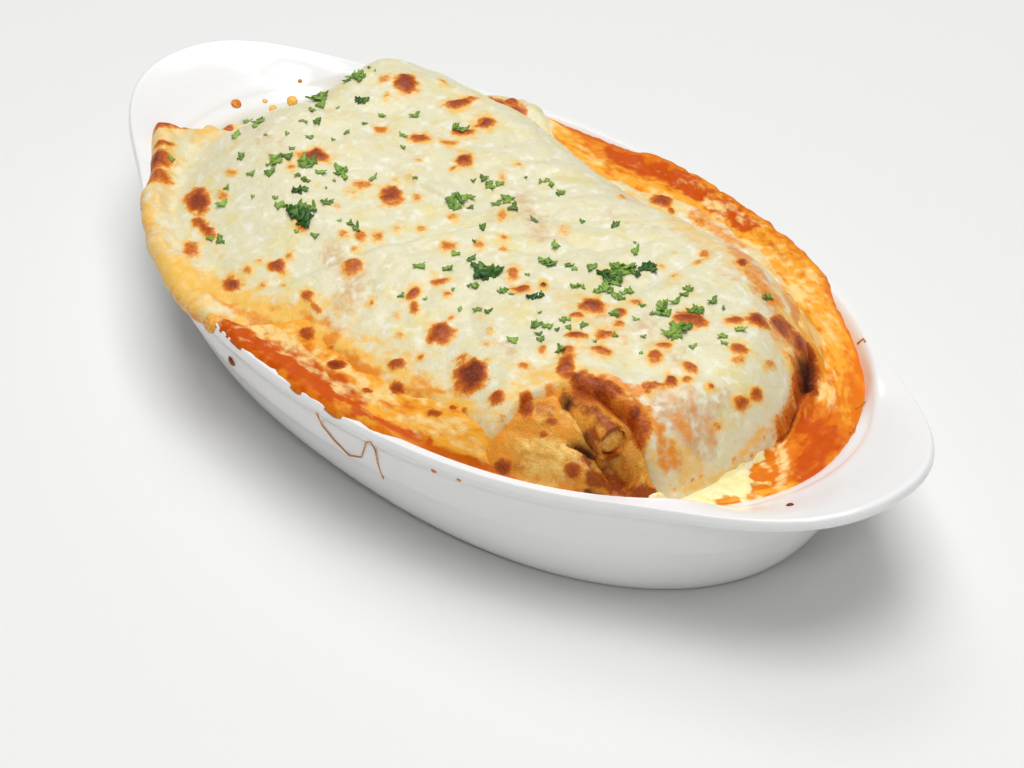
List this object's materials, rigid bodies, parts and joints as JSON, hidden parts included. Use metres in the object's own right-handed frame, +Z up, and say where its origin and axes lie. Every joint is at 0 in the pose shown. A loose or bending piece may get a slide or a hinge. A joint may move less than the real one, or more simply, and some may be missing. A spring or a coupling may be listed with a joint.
{
  "type": "baked pasta in its dish",
  "caption": "Baked tube pasta heaped in tomato sauce under browned melted cheese, in its white oval gratin dish with an ear at each end.",
  "frame": {"origin": "on the table, at the centre of the dish's foot", "axes": "+Z up, +X along the dish from ear to ear, towards the end where the heap ends in a cliff; +Y across"},
  "size_m": [0.2802, 0.146, 0.0574],
  "materials": {
    "glazed_porcelain": "white glaze, glossy",
    "tomato_sauce": "orange tomato and cream sauce, oily and glossy",
    "tube_pasta": "cooked pasta, moist, stained by sauce",
    "melted_cheese": "melted mozzarella, softly glossy, browned in blisters"
  },
  "bodies": {
    "root": {"dish": "glazed_porcelain", "sauce": "tomato_sauce", "pasta": "tube_pasta", "cheese": "melted_cheese", "cheese_pool": "melted_cheese"}
  },
  "joints": []
}
